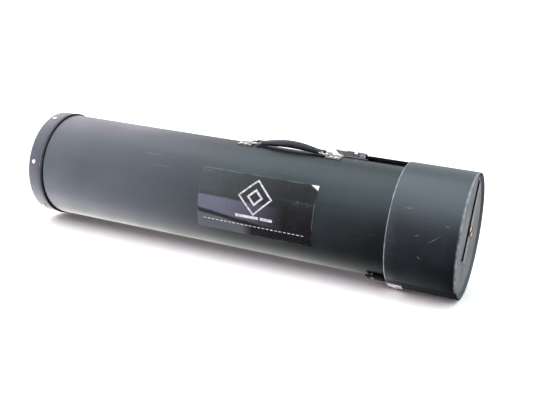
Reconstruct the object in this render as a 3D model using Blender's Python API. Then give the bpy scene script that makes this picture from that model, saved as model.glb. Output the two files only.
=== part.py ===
"""Rigid carrying tube for rolled drawings or a tripod: telescoping lid, strap and cam buckle, lift-up handle.

Units are metres and +Z is up. The tube lies along X, base at -X and lid at +X, with the handle on top.
Angles round the tube are measured from the front (-Y) towards the top (+Z).
"""
import math

import bmesh
import bpy
from mathutils import Matrix, Vector

GAP = 0.0003            # clearance between touching pieces
SIDES = 48              # facets round the tube, with one facet flat on the floor
MM = 0.001

# Tube, base and lid, along X from the base face to the lid rim
TUBE_R = 0.100
TUBE_WALL = 0.003
BASE_X = -0.425
RIM_X = 0.425
BASE_THICK = 0.003
BASE_R = 0.1022
BASE_DEPTH = 0.0266
BEAD_WIDTH = 0.0052
BEAD_R = 0.1030
LID_R = 0.111
LID_WALL = 0.003
LID_EDGE_X = 0.3035
DISC_OUT_X = 0.4200
DISC_THICK = 0.003
TUBE_END_X = 0.4128
PAD_THICK = 0.008
AXIS_Z = LID_R * math.cos(math.pi / SIDES)

# Strap, in the plane through the tube axis at STRAP_DEG
STRAP_DEG = 117.0
STRAP_WIDTH = 0.028
STRAP_THICK = 0.0022
STRAP_R = 0.1055
STRAP_START_X = 0.180
STRAP_TAIL_X = 0.372
STRAP_IN_X = 0.4150
STRAP_FACE_X = 0.4215
STRAP_BEND = 0.0025
SLOT_TOP_R = 0.0965
SLOT_LOW_R = -0.0475
SLOT_SIZE = (0.004, 0.031)
ROSETTE_R = 0.0105
ROSETTE_AT = 0.008

# Cam buckle on the tube
BUCKLE_BASE = (0.164, 0.222)
BUCKLE_WIDTH = 0.034
FRAME_X = (0.178, 0.216)
FRAME_TOP_R = 0.1124
CHEEK = 0.0014
PIN_X = 0.195
PIN_R = 0.1098
LEVER_TIP_X = 0.156
LEVER_WIDTH = 0.026
HUB_R = 0.0025

# Strap anchor under the tube and guard plate on the lid edge
ANCHOR_X = (0.264, 0.2995, 0.360)
GUARD_X = (0.3052, 0.3305)

# Handle
HANDLE_X = 0.0835
GRIP_HALF = 0.0668
FERRULE_IN = 0.046
GRIP_ARCH = 0.0053
GRIP_END = (0.0078, 0.0040)   # half width and half thickness at the ferrules
GRIP_SWELL = (0.0032, 0.0027)
RING_PIVOT = 0.0755
RING_LENGTH = 0.018
RING_WIRE = 0.0014
RING_HALF_WIDTH = 0.0098
RING_REST_DEG = 4.0
RING_SWING_DEG = 40.0
RING_PIVOT_Z = 0.1036
BARREL_R = 0.0028
BARREL_HALF = 0.0078
BRACKET_X = (0.0727, 0.0995)
BRACKET_HALF = 0.017

# Label film on the front of the tube
LABEL_X = (-0.0485, 0.1725)
LABEL_DEG = (-27.0, 38.0)


def clear_scene():
    for item in list(bpy.data.objects):
        bpy.data.objects.remove(item, do_unlink=True)


def material(name, colour, roughness, metallic):
    mat = bpy.data.materials.new(name)
    mat.use_nodes = True
    shader = mat.node_tree.nodes["Principled BSDF"]
    shader.inputs["Base Color"].default_value = (*colour, 1.0)
    shader.inputs["Roughness"].default_value = roughness
    shader.inputs["Metallic"].default_value = metallic
    return mat


def frame_at(degrees):
    """World matrix whose X is the tube axis, Y the tangent and Z the outward normal at an angle."""
    angle = math.radians(degrees)
    normal = Vector((0.0, -math.cos(angle), math.sin(angle)))
    tangent = Vector((0.0, math.sin(angle), math.cos(angle)))
    axial = Vector((1.0, 0.0, 0.0))
    if axial.cross(tangent).dot(normal) < 0:
        tangent = -tangent
    matrix = Matrix((axial, tangent, normal)).transposed().to_4x4()
    matrix.translation = (0.0, 0.0, AXIS_Z)
    return matrix


def add_object(name, bm, mat, matrix=None, origin=None, smooth=False):
    """Make an object from bmesh geometry in a local frame, with its origin at a local point."""
    matrix = matrix or Matrix.Translation((0.0, 0.0, AXIS_Z))
    origin = Vector(origin or (0.0, 0.0, 0.0))
    bmesh.ops.translate(bm, verts=bm.verts, vec=-origin)
    bmesh.ops.recalc_face_normals(bm, faces=bm.faces)
    mesh = bpy.data.meshes.new(name)
    bm.to_mesh(mesh)
    bm.free()
    mesh.materials.append(mat)
    if smooth:
        mesh.shade_smooth()
        mesh.set_sharp_from_angle(angle=math.radians(35))
    item = bpy.data.objects.new(name, mesh)
    item.matrix_world = matrix @ Matrix.Translation(origin)
    bpy.context.scene.collection.objects.link(item)
    return item


def spin_profile(points, sides, phase, axis):
    """Closed body turned from (along, radius) points round the local X or Z axis."""
    bm = bmesh.new()
    side = Vector((0.0, math.cos(phase), math.sin(phase))) if axis == "X" else Vector((1.0, 0.0, 0.0))
    along = Vector((1.0, 0.0, 0.0)) if axis == "X" else Vector((0.0, 0.0, 1.0))
    verts = [bm.verts.new(along * a + side * r) for a, r in points]
    edges = []
    for index, vert in enumerate(verts):
        following = verts[(index + 1) % len(verts)]
        on_axis = points[index][1] == 0 and points[(index + 1) % len(verts)][1] == 0
        if not on_axis:
            edges.append(bm.edges.new((vert, following)))
    bmesh.ops.spin(bm, geom=verts + edges, cent=(0, 0, 0), axis=along, dvec=(0, 0, 0),
                   angle=math.tau, steps=sides, use_duplicate=False)
    bmesh.ops.remove_doubles(bm, verts=bm.verts, dist=1e-6)
    return bm


def turned_on_axis(name, points, mat):
    """A turned piece of the tube, with a flat facet straight down."""
    phase = -math.pi / 2 + math.pi / SIDES
    return add_object(name, spin_profile(points, SIDES, phase, "X"), mat, smooth=True)


def prism(outline, low, high, plane="XZ"):
    """Extrude a closed outline: drawn in local X and Z along Y, in X and Y along Z, or in Y and Z along X."""
    place = {
        "XZ": lambda a, b: (a, low, b),
        "XY": lambda a, b: (a, b, low),
        "YZ": lambda a, b: (low, a, b),
    }[plane]
    direction = {"XZ": (0, 1, 0), "XY": (0, 0, 1), "YZ": (1, 0, 0)}[plane]
    bm = bmesh.new()
    face = bm.faces.new([bm.verts.new(place(a, b)) for a, b in outline])
    grown = bmesh.ops.extrude_face_region(bm, geom=[face])
    moved = [v for v in grown["geom"] if isinstance(v, bmesh.types.BMVert)]
    bmesh.ops.translate(bm, verts=moved, vec=Vector(direction) * (high - low))
    return bm


def rounded_outline(a_low, a_high, b_low, b_high, radius, steps=4):
    """Rectangle with rounded corners."""
    points = []
    corners = ((a_high, b_high, 0), (a_low, b_high, 90), (a_low, b_low, 180), (a_high, b_low, 270))
    for a, b, start in corners:
        centre_a = a - radius * (1 if a == a_high else -1)
        centre_b = b - radius * (1 if b == b_high else -1)
        for step in range(steps + 1):
            angle = math.radians(start + 90 * step / steps)
            points.append((centre_a + radius * math.cos(angle), centre_b + radius * math.sin(angle)))
    return points


def arc_points(centre, radius, start, end, steps):
    """Points on an arc, in degrees from local +X towards +Z."""
    angles = [math.radians(start + (end - start) * step / steps) for step in range(steps + 1)]
    return [(centre[0] + radius * math.cos(a), centre[1] + radius * math.sin(a)) for a in angles]


def curved_patch(x_range, r_range, degree_range, steps):
    """Closed shell patch that follows the tube between two angles."""
    outline = []
    for radius, angles in ((r_range[1], degree_range), (r_range[0], degree_range[::-1])):
        for step in range(steps + 1):
            angle = math.radians(angles[0] + (angles[1] - angles[0]) * step / steps)
            outline.append((-radius * math.cos(angle), radius * math.sin(angle)))
    bm = bmesh.new()
    rows = [[bm.verts.new((x, y, z)) for y, z in outline] for x in x_range]
    count = steps + 1
    for index in range(len(outline)):
        following = (index + 1) % len(outline)
        bm.faces.new((rows[0][index], rows[0][following], rows[1][following], rows[1][index]))
    for row in rows:
        for step in range(steps):
            mate = 2 * count - 1 - step
            bm.faces.new((row[step], row[step + 1], row[mate - 1], row[mate]))
    return bm


def cut(target, cutters):
    """Boolean difference with guide objects that the build leaves out."""
    for cutter in cutters:
        cutter.hide_render = True
        cutter.display_type = "WIRE"
        modifier = target.modifiers.new("cut_" + cutter.name, "BOOLEAN")
        modifier.operation = "DIFFERENCE"
        modifier.solver = "EXACT"
        modifier.object = cutter


def hole_cutter(name, x, degrees, offset, low, high, radius):
    """Round cutter along the normal at an angle, at a distance along the tube and a tangent offset."""
    profile = [(low, 0.0), (low, radius), (high, radius), (high, 0.0)]
    bm = spin_profile(profile, 10, 0.0, "Z")
    bmesh.ops.translate(bm, verts=bm.verts, vec=(x, offset, 0.0))
    return add_object(name, bm, CUTTER, frame_at(degrees))


def rivet(name, mat, x, degrees, offset, seat, tail, head=0.004, rise=0.0013, shank=0.0017):
    """Domed rivet: head above its seat, shank, and a flattened tail below."""
    profile = [
        (tail - 0.0008, 0.0),
        (tail - 0.0008, shank * 1.5),
        (tail, shank * 1.6),
        (tail, shank),
        (seat, shank),
        (seat, head),
        (seat + rise * 0.55, head * 0.86),
        (seat + rise * 0.9, head * 0.45),
        (seat + rise, 0.0),
    ]
    bm = spin_profile(profile, 12, 0.0, "Z")
    bmesh.ops.translate(bm, verts=bm.verts, vec=(x, offset, 0.0))
    return add_object(name, bm, mat, frame_at(degrees), origin=(x, offset, seat), smooth=True)


def make_materials():
    return {
        "fibre": material("black_fibre", (0.035, 0.042, 0.048), 0.42, 0.0),
        "disc": material("grey_fibre", (0.22, 0.23, 0.24), 0.55, 0.0),
        "rubber": material("black_rubber", (0.012, 0.012, 0.013), 0.6, 0.0),
        "foam": material("grey_foam", (0.09, 0.09, 0.095), 0.95, 0.0),
        "nickel": material("nickel", (0.72, 0.70, 0.66), 0.28, 1.0),
        "brass": material("worn_brass", (0.55, 0.42, 0.30), 0.35, 1.0),
        "webbing": material("black_webbing", (0.010, 0.010, 0.011), 0.85, 0.0),
        "buckle": material("grey_steel", (0.30, 0.30, 0.33), 0.38, 0.9),
        "grip": material("dark_grip", (0.03, 0.03, 0.036), 0.45, 0.0),
        "film": material("label_film", (0.018, 0.022, 0.026), 0.2, 0.0),
    }


def make_tube(mats, holes):
    """Fibre tube, open at both ends, with a hole for every rivet."""
    outer = TUBE_R
    inner = TUBE_R - TUBE_WALL
    start = BASE_X + BASE_THICK + GAP
    shell = turned_on_axis("tube_shell", [(start, outer), (TUBE_END_X, outer),
                                          (TUBE_END_X, inner), (start, inner)], mats["fibre"])
    cut(shell, holes)


def make_base(mats):
    """Riveted base cup, its edge bead, and the foam pad inside it."""
    mouth = BASE_X + BASE_DEPTH
    inside = BASE_X + BASE_THICK
    wall_in = TUBE_R + GAP
    cup = turned_on_axis("base_cup", [
        (BASE_X, 0.0), (BASE_X, BASE_R - 0.0012), (BASE_X + 0.0012, BASE_R), (mouth, BASE_R),
        (mouth, wall_in), (inside, wall_in), (inside, 0.0)], mats["fibre"])
    bead_from = mouth + GAP
    bead_to = bead_from + BEAD_WIDTH
    turned_on_axis("base_edge_bead", [
        (bead_from, wall_in), (bead_from, BEAD_R - 0.0008), (bead_from + 0.0012, BEAD_R),
        (bead_to - 0.0012, BEAD_R), (bead_to, BEAD_R - 0.0008), (bead_to, wall_in)], mats["rubber"])
    pad_from = inside + GAP
    turned_on_axis("base_pad", [(pad_from, 0.0), (pad_from, 0.0935), (pad_from + PAD_THICK, 0.0935),
                                (pad_from + PAD_THICK, 0.0)], mats["foam"])
    rivet_x = BASE_X + 0.0125
    holes = []
    cup_holes = []
    for number in range(6):
        angle = 10.0 + 60.0 * number
        holes.append(hole_cutter(f"hole_base_{number + 1}", rivet_x, angle, 0.0, 0.094, 0.106, 0.0021))
        cup_holes.append(holes[-1])
        rivet(f"base_rivet_{number + 1}", mats["nickel"], rivet_x, angle, 0.0, BASE_R + GAP,
              TUBE_R - TUBE_WALL - 2 * GAP, head=0.0036)
    cut(cup, cup_holes)
    return holes


def strap_path():
    """Centre line of the lid strap in (x, r), from the buckle round the lid end to the far side."""
    bend = STRAP_BEND
    turn = 0.003
    path = [(STRAP_START_X, STRAP_R)]
    path += arc_points((STRAP_IN_X - turn, STRAP_R - turn), turn, 90, 0, 5)
    path += arc_points((STRAP_IN_X + bend, SLOT_TOP_R + bend), bend, 180, 270, 4)
    path += arc_points((STRAP_FACE_X - bend, SLOT_TOP_R - bend), bend, 90, 0, 4)
    path += arc_points((STRAP_FACE_X - bend, SLOT_LOW_R + bend), bend, 0, -90, 4)
    path += arc_points((STRAP_IN_X + bend, SLOT_LOW_R - bend), bend, 90, 180, 4)
    path += arc_points((STRAP_IN_X - turn, -STRAP_R + turn), turn, 0, -90, 5)
    path += [(STRAP_TAIL_X, -STRAP_R)]
    return path


def thick_outline(path, thickness):
    """Closed outline of a band that follows a centre line."""
    upper = []
    lower = []
    for index, point in enumerate(path):
        before = Vector(path[max(index - 1, 0)])
        after = Vector(path[min(index + 1, len(path) - 1)])
        direction = (after - before).normalized()
        side = Vector((-direction.y, direction.x)) * thickness / 2
        upper.append(tuple(Vector(point) + side))
        lower.append(tuple(Vector(point) - side))
    return upper + lower[::-1]


def make_lid(mats):
    """Telescoping lid: skirt, recessed end disc, pad, strap, rosette and its rivet."""
    inner = LID_R - LID_WALL
    turned_lid = turned_on_axis("lid_skirt", [
        (LID_EDGE_X, inner), (LID_EDGE_X, LID_R - 0.0008), (LID_EDGE_X + 0.0008, LID_R),
        (RIM_X - 0.001, LID_R), (RIM_X, LID_R - 0.001), (RIM_X, inner)], mats["fibre"])
    disc_in = DISC_OUT_X - DISC_THICK
    disc = turned_on_axis("lid_end_disc", [(disc_in, 0.0), (disc_in, inner - GAP),
                                           (DISC_OUT_X, inner - GAP), (DISC_OUT_X, 0.0)], mats["disc"])
    pad_to = TUBE_END_X + 0.0002
    turned_on_axis("lid_pad", [(pad_to - PAD_THICK, 0.0), (pad_to - PAD_THICK, 0.092),
                               (pad_to, 0.092), (pad_to, 0.0)], mats["foam"])
    frame = frame_at(STRAP_DEG)
    slots = []
    for label, radius in (("top", SLOT_TOP_R), ("low", SLOT_LOW_R)):
        outline = rounded_outline(radius - SLOT_SIZE[0] / 2, radius + SLOT_SIZE[0] / 2,
                                  -SLOT_SIZE[1] / 2, SLOT_SIZE[1] / 2, 0.0015)
        bm = prism([(y, r) for r, y in outline], disc_in - 0.002, DISC_OUT_X + 0.002, "YZ")
        slots.append(add_object(f"hole_slot_{label}", bm, CUTTER, frame))
    strap_bm = prism(thick_outline(strap_path(), STRAP_THICK), -STRAP_WIDTH / 2, STRAP_WIDTH / 2)
    strap = add_object("lid_strap", strap_bm, mats["webbing"], frame)
    shank_hole = spin_profile([(0.41, 0.0), (0.41, 0.0021), (0.43, 0.0021), (0.43, 0.0)], 12, 0.0, "X")
    bmesh.ops.translate(shank_hole, verts=shank_hole.verts, vec=(0, 0, ROSETTE_AT))
    centre_hole = add_object("hole_rosette", shank_hole, CUTTER, frame)
    cut(strap, [centre_hole])
    cut(disc, slots + [centre_hole])
    face = STRAP_FACE_X + STRAP_THICK / 2 + GAP
    rosette = spin_profile([(face, 0.0021), (face, ROSETTE_R), (face + 0.0003, ROSETTE_R),
                            (face + 0.0008, ROSETTE_R * 0.8), (face + 0.0008, 0.0021)], 24, 0.0, "X")
    bmesh.ops.translate(rosette, verts=rosette.verts, vec=(0, 0, ROSETTE_AT))
    add_object("strap_rosette", rosette, mats["brass"], frame, smooth=True)
    seat = face + 0.0008 + GAP
    tail = disc_in - GAP
    stud = spin_profile([(tail - 0.0008, 0.0), (tail - 0.0008, 0.003), (tail, 0.003), (tail, 0.0017),
                         (seat, 0.0017), (seat, 0.0048), (seat + 0.0004, 0.0042),
                         (RIM_X - GAP, 0.002), (RIM_X - GAP, 0.0)], 16, 0.0, "X")
    bmesh.ops.translate(stud, verts=stud.verts, vec=(0, 0, ROSETTE_AT))
    add_object("strap_rivet", stud, mats["nickel"], frame, smooth=True)
    make_guard(mats, turned_lid)


def make_guard(mats, skirt):
    """Nickel guard plate riveted on the lid edge where the strap comes out underneath."""
    low_deg = STRAP_DEG - 180.0
    guard = add_object("lid_edge_guard", curved_patch(GUARD_X, (LID_R + GAP, LID_R + 0.0016),
                                                      (low_deg - 8.0, low_deg + 8.0), 8), mats["nickel"])
    middle = (GUARD_X[0] + GUARD_X[1]) / 2
    holes = []
    for number, offset in enumerate((-5.0, 5.0)):
        angle = low_deg + offset
        holes.append(hole_cutter(f"hole_guard_{number + 1}", middle, angle, 0.0, 0.104, 0.118, 0.0021))
        rivet(f"guard_rivet_{number + 1}", mats["nickel"], middle, angle, 0.0, LID_R + 0.0016 + GAP,
              LID_R - LID_WALL - 2 * GAP, head=0.003, rise=0.001)
    cut(guard, holes)
    cut(skirt, holes)


def make_buckle(mats):
    """Cam buckle on the tube: base plate, cheeked frame, pin, lever and four rivets."""
    frame = frame_at(STRAP_DEG)
    half = BUCKLE_WIDTH / 2
    base_low = TUBE_R + GAP
    base_high = base_low + 0.0012
    base = add_object("buckle_base", prism(rounded_outline(*BUCKLE_BASE, -half, half, 0.004),
                                           base_low, base_high, "XY"), mats["buckle"], frame)
    floor_low = base_high + GAP
    floor_high = floor_low + 0.0012
    edge = LEVER_WIDTH / 2 + 0.0012
    channel = [(-edge - CHEEK, floor_low), (edge + CHEEK, floor_low), (edge + CHEEK, FRAME_TOP_R),
               (edge, FRAME_TOP_R), (edge, floor_high), (-edge, floor_high), (-edge, FRAME_TOP_R),
               (-edge - CHEEK, FRAME_TOP_R)]
    cheeks = add_object("buckle_frame", prism(channel, *FRAME_X, "YZ"), mats["buckle"], frame)
    bevel = prism(rounded_outline(FRAME_X[0], FRAME_X[1], 0.099, FRAME_TOP_R + 0.00001, 0.005, 5), -0.03, 0.03)
    keep = add_object("hole_cheek_outline", bevel, CUTTER, frame)
    keep.hide_render = True
    keep.display_type = "WIRE"
    rounding = cheeks.modifiers.new("cheek_outline", "BOOLEAN")
    rounding.operation = "INTERSECT"
    rounding.solver = "EXACT"
    rounding.object = keep
    pin_length = edge + CHEEK + 0.0008
    pin_bm = side_cylinder(PIN_X, PIN_R, 0.0013, -pin_length, pin_length, 12)
    add_object("buckle_pin", pin_bm, mats["nickel"], frame, origin=(PIN_X, 0, PIN_R), smooth=True)
    pin_hole = add_object("hole_pin", side_cylinder(PIN_X, PIN_R, 0.0016, -0.03, 0.03, 12), CUTTER, frame)
    cut(cheeks, [pin_hole])
    lever_outline = arc_points((PIN_X, PIN_R), HUB_R, -120, 90, 10)
    lever_outline += [(PIN_X - 0.012, PIN_R + 0.0022), (PIN_X - 0.026, PIN_R + 0.0016)]
    lever_outline += [(LEVER_TIP_X + 0.002, PIN_R + 0.0028), (LEVER_TIP_X, PIN_R + 0.0022)]
    lever_outline += [(LEVER_TIP_X + 0.001, PIN_R + 0.0010), (PIN_X - 0.026, PIN_R - 0.0006)]
    lever_outline += [(PIN_X - 0.012, PIN_R - 0.0008)]
    lever = add_object("buckle_lever", prism(lever_outline, -LEVER_WIDTH / 2, LEVER_WIDTH / 2),
                       mats["buckle"], frame, origin=(PIN_X, 0, PIN_R))
    cut(lever, [pin_hole])
    holes = []
    places = ((BUCKLE_BASE[0] + 0.006, 0.009, base_high), (0.205, 0.007, floor_high))
    number = 0
    for x, offset, seat in places:
        for side in (-1, 1):
            number += 1
            holes.append(hole_cutter(f"hole_buckle_{number}", x, STRAP_DEG, side * offset,
                                     0.092, 0.104, 0.0021))
            rivet(f"buckle_rivet_{number}", mats["nickel"], x, STRAP_DEG, side * offset, seat + GAP,
                  0.0956, head=0.0034, rise=0.0009)
    cut(base, holes)
    cut(cheeks, holes[2:])
    return holes


def side_cylinder(x, height, radius, low, high, sides):
    """Cylinder along local Y."""
    outline = arc_points((x, height), radius, 0, 360 - 360 / sides, sides - 1)
    return prism(outline, low, high)


def make_anchor(mats):
    """Folded strap end riveted under the tube, on the far side from the buckle."""
    low_deg = STRAP_DEG - 180.0
    base = TUBE_R + GAP
    outline = [(ANCHOR_X[0], base), (ANCHOR_X[2], base), (ANCHOR_X[2], base + STRAP_THICK),
               (ANCHOR_X[1], base + STRAP_THICK), (ANCHOR_X[1] - 0.002, base + 0.0044),
               (ANCHOR_X[0] + 0.001, base + 0.0044), (ANCHOR_X[0], base + 0.0034)]
    frame = frame_at(low_deg)
    strap = add_object("anchor_strap", prism(outline, -STRAP_WIDTH / 2, STRAP_WIDTH / 2),
                       mats["webbing"], frame)
    holes = []
    for number, side in enumerate((-1, 1)):
        holes.append(hole_cutter(f"hole_anchor_{number + 1}", 0.274, low_deg, side * 0.007,
                                 0.092, 0.112, 0.0021))
        rivet(f"anchor_rivet_{number + 1}", mats["nickel"], 0.274, low_deg, side * 0.007,
              base + 0.0044 + GAP, 0.0960, head=0.003, rise=0.0008)
    cut(strap, holes)
    return holes


def loft(stations, sides, power):
    """Closed body through superellipse sections given as (x, height, half width, half thickness)."""
    bm = bmesh.new()
    rows = []
    for x, height, wide, thick in stations:
        row = []
        for step in range(sides):
            angle = math.tau * step / sides
            c = math.cos(angle)
            s = math.sin(angle)
            y = wide * math.copysign(abs(c) ** power, c)
            z = height + thick * math.copysign(abs(s) ** power, s)
            row.append(bm.verts.new((x, y, z)))
        rows.append(row)
    for first, second in zip(rows, rows[1:]):
        for step in range(sides):
            following = (step + 1) % sides
            bm.faces.new((first[step], first[following], second[following], second[step]))
    bm.faces.new(rows[0])
    bm.faces.new(rows[-1])
    return bm


def grip_section(x):
    """Height, half width and half thickness of the arched grip at a distance from its middle."""
    share = min(abs(x) / (RING_PIVOT - RING_LENGTH), 1.0)
    bulge = (1.0 - share * share) ** 2
    end_height = RING_PIVOT_Z + RING_LENGTH * math.sin(math.radians(RING_REST_DEG))
    wide = GRIP_END[0] + GRIP_SWELL[0] * bulge
    thick = GRIP_END[1] + GRIP_SWELL[1] * (1.0 - share * share)
    return end_height + GRIP_ARCH * bulge, wide, thick


def make_handle(mats):
    """Grip with a ferrule at each end, two pivoting rings, riveted brackets and backing plates."""
    top = frame_at(90.0)
    cover_half = FERRULE_IN - GAP
    steps = 14
    xs = [-cover_half + 2 * cover_half * step / steps for step in range(steps + 1)]
    cover = loft([(HANDLE_X + x, *grip_section(x)) for x in xs], 20, 0.8)
    add_object("grip_cover", cover, mats["grip"], top, origin=(HANDLE_X, 0, RING_PIVOT_Z), smooth=True)
    holes = []
    for side, word in ((-1, "left"), (1, "right")):
        holes += make_handle_end(mats, top, side, word)
    return holes


def make_handle_end(mats, top, side, word):
    """Ferrule, ring, bracket, backing plate and four rivets at one end of the grip."""
    bar_x = RING_PIVOT - RING_LENGTH * math.cos(math.radians(RING_REST_DEG))
    lifted_x = RING_PIVOT - RING_LENGTH * math.cos(math.radians(RING_REST_DEG + RING_SWING_DEG))
    xs = [FERRULE_IN, FERRULE_IN + 0.005, bar_x, GRIP_HALF - 0.001, GRIP_HALF]
    shrink = [1.0, 1.0, 1.0, 0.97, 0.88]
    stations = []
    for x, factor in zip(xs, shrink):
        height, wide, thick = grip_section(x)
        stations.append((HANDLE_X + side * x, height, wide * factor, thick * factor))
    ferrule = add_object(f"grip_ferrule_{word}", loft(stations, 20, 0.7), mats["grip"], top,
                         origin=(HANDLE_X, 0, RING_PIVOT_Z), smooth=True)
    bar_height = grip_section(bar_x)[0]
    play = RING_WIRE + 0.0004
    slot_ends = sorted((HANDLE_X + side * (bar_x - play), HANDLE_X + side * (lifted_x + play)))
    slot_half = RING_WIRE + 0.0008
    slot = prism(rounded_outline(*slot_ends, bar_height - slot_half, bar_height + slot_half, 0.001),
                 -0.015, 0.015)
    cut(ferrule, [add_object(f"hole_grip_{word}", slot, CUTTER, top)])
    make_ring(mats, top, side, word)
    return make_bracket(mats, top, side, word)


def make_ring(mats, top, side, word):
    """Rectangular wire ring from its pivot in the bracket to the slot in the ferrule."""
    rest = math.radians(RING_REST_DEG)
    corner = 0.0028
    half = RING_HALF_WIDTH
    path = []
    corners = ((RING_LENGTH, half, 0), (0.0, half, 90), (0.0, -half, 180), (RING_LENGTH, -half, 270))
    for a, b, start in corners:
        centre_a = a - corner * (1 if a > 0 else -1)
        centre_b = b - corner * (1 if b > 0 else -1)
        for step in range(5):
            angle = math.radians(start + 90 * step / 4)
            path.append((centre_a + corner * math.cos(angle), centre_b + corner * math.sin(angle)))
    bm = bmesh.new()
    wire_sides = 10
    rows = []
    count = len(path)
    for index, (a, b) in enumerate(path):
        before = Vector(path[index - 1])
        after = Vector(path[(index + 1) % count])
        direction = (after - before).normalized()
        normal = Vector((direction.y, -direction.x))
        row = []
        for step in range(wire_sides):
            angle = math.tau * step / wire_sides
            along = a + normal.x * RING_WIRE * math.cos(angle)
            across = b + normal.y * RING_WIRE * math.cos(angle)
            lift = RING_WIRE * math.sin(angle)
            x = HANDLE_X + side * (RING_PIVOT - along * math.cos(rest) + lift * math.sin(rest))
            z = RING_PIVOT_Z + along * math.sin(rest) + lift * math.cos(rest)
            row.append(bm.verts.new((x, across, z)))
        rows.append(row)
    for index, row in enumerate(rows):
        other = rows[(index + 1) % count]
        for step in range(wire_sides):
            following = (step + 1) % wire_sides
            bm.faces.new((row[step], row[following], other[following], other[step]))
    add_object(f"handle_ring_{word}", bm, mats["nickel"], top,
               origin=(HANDLE_X + side * RING_PIVOT, 0, RING_PIVOT_Z), smooth=True)


def make_bracket(mats, top, side, word):
    """Saddle plate with a bored barrel for the ring, four rivets and a backing plate inside."""
    ends = sorted((HANDLE_X + side * BRACKET_X[0], HANDLE_X + side * BRACKET_X[1]))
    half_deg = math.degrees(math.asin(BRACKET_HALF / TUBE_R))
    saddle_r = (TUBE_R + GAP, TUBE_R + 0.0018)
    plate = add_object(f"handle_bracket_{word}",
                       curved_patch(ends, saddle_r, (90 - half_deg, 90 + half_deg), 8), mats["nickel"])
    pivot = (HANDLE_X + side * RING_PIVOT, RING_PIVOT_Z)
    foot = pivot[0] + side * 0.0045
    barrel = arc_points(pivot, BARREL_R, 90 + side * 90, 90, 6)
    outline = [(pivot[0] - side * BARREL_R, saddle_r[0] + 0.0008)] + barrel
    outline += [(foot, RING_PIVOT_Z - 0.0008), (foot + side * 0.001, saddle_r[0] + 0.0008)]
    block = add_object(f"hole_barrel_{word}", prism(outline, -BARREL_HALF, BARREL_HALF), CUTTER, top)
    block.hide_render = True
    block.display_type = "WIRE"
    joined = plate.modifiers.new("barrel", "BOOLEAN")
    joined.operation = "UNION"
    joined.solver = "EXACT"
    joined.object = block
    bore_bm = side_cylinder(*pivot, RING_WIRE + 0.0004, -0.02, 0.02, 12)
    cutters = [add_object(f"hole_bore_{word}", bore_bm, CUTTER, top)]
    backing = add_object(f"handle_backing_{word}",
                         prism(rounded_outline(ends[0] + 0.001, ends[1] - 0.001, -0.0165, 0.0165, 0.003),
                               0.0940, 0.0952, "XY"), mats["buckle"], top)
    holes = []
    number = 0
    for dx in (0.0100, 0.0200):
        for offset in (-0.0125, 0.0125):
            number += 1
            x = HANDLE_X + side * (BRACKET_X[0] + dx)
            tag = f"{word}_{number}"
            hole = hole_cutter(f"hole_handle_{tag}", x, 90.0, -offset, 0.092, 0.104, 0.0021)
            holes.append(hole)
            seat = math.sqrt((TUBE_R + 0.0018) ** 2 - (abs(offset) - 0.003) ** 2) + GAP
            rivet(f"handle_rivet_{tag}", mats["nickel"], x, 90.0, -offset, seat, 0.0937, head=0.003)
    cut(plate, cutters + holes)
    cut(backing, holes)
    return holes


def make_label(mats):
    """Film label wrapped on the front of the tube."""
    add_object("label_film", curved_patch(LABEL_X, (TUBE_R + GAP, TUBE_R + 0.0007), LABEL_DEG, 16),
               mats["film"], smooth=True)


clear_scene()
CUTTER = material("cutter", (1.0, 0.0, 0.0), 0.5, 0.0)
MATS = make_materials()
make_tube(MATS, make_base(MATS) + make_buckle(MATS) + make_anchor(MATS) + make_handle(MATS))
make_lid(MATS)
make_label(MATS)
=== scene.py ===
"""Looks of a rigid carrying tube: fibre shells, nickel hardware, webbing, leather grip and a plain label."""
import math
import random

import bmesh
import bpy
from mathutils import Matrix, Vector


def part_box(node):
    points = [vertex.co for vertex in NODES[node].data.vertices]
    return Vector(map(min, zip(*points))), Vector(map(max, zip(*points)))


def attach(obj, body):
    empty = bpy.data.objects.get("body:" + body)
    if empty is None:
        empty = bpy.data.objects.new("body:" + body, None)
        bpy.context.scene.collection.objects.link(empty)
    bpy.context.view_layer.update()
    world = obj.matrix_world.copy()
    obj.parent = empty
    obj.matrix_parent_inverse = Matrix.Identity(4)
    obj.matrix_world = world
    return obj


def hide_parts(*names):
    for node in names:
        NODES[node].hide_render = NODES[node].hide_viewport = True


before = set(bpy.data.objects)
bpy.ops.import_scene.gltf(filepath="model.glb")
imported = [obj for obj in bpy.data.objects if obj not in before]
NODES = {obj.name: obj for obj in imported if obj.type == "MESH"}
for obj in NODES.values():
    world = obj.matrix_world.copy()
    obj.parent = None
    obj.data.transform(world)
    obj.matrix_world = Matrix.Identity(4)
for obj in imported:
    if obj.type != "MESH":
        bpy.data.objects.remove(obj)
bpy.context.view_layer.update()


# ---------------------------------------------------------------- sizes, mostly read from the frame
def half_width(node):
    low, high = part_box(node)
    return (high.y - low.y) / 2


TUBE_LOW, TUBE_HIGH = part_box("tube_shell")
LID_LOW, LID_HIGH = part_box("lid_skirt")
CUP_LOW, CUP_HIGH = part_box("base_cup")
BEAD_LOW, BEAD_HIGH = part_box("base_edge_bead")
LABEL_LOW, LABEL_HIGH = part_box("label_film")
AXIS_Z = (LID_LOW.z + LID_HIGH.z) / 2
TUBE_R = half_width("tube_shell")
LID_R = half_width("lid_skirt")
CUP_R = half_width("base_cup")
BEAD_R = half_width("base_edge_bead")
WALL = 0.0028
STRAP_DEG = 117.0
LABEL_DEG = (-27.0, 38.0)
LABEL_R = TUBE_R + 0.0009


def frame_at(degrees):
    """World matrix whose X is the tube axis, Y the tangent and Z the outward normal at an angle."""
    angle = math.radians(degrees)
    normal = Vector((0.0, -math.cos(angle), math.sin(angle)))
    tangent = normal.cross(Vector((1.0, 0.0, 0.0)))
    matrix = Matrix((Vector((1.0, 0.0, 0.0)), tangent, normal)).transposed().to_4x4()
    matrix.translation = (0.0, 0.0, AXIS_Z)
    return matrix


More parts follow.
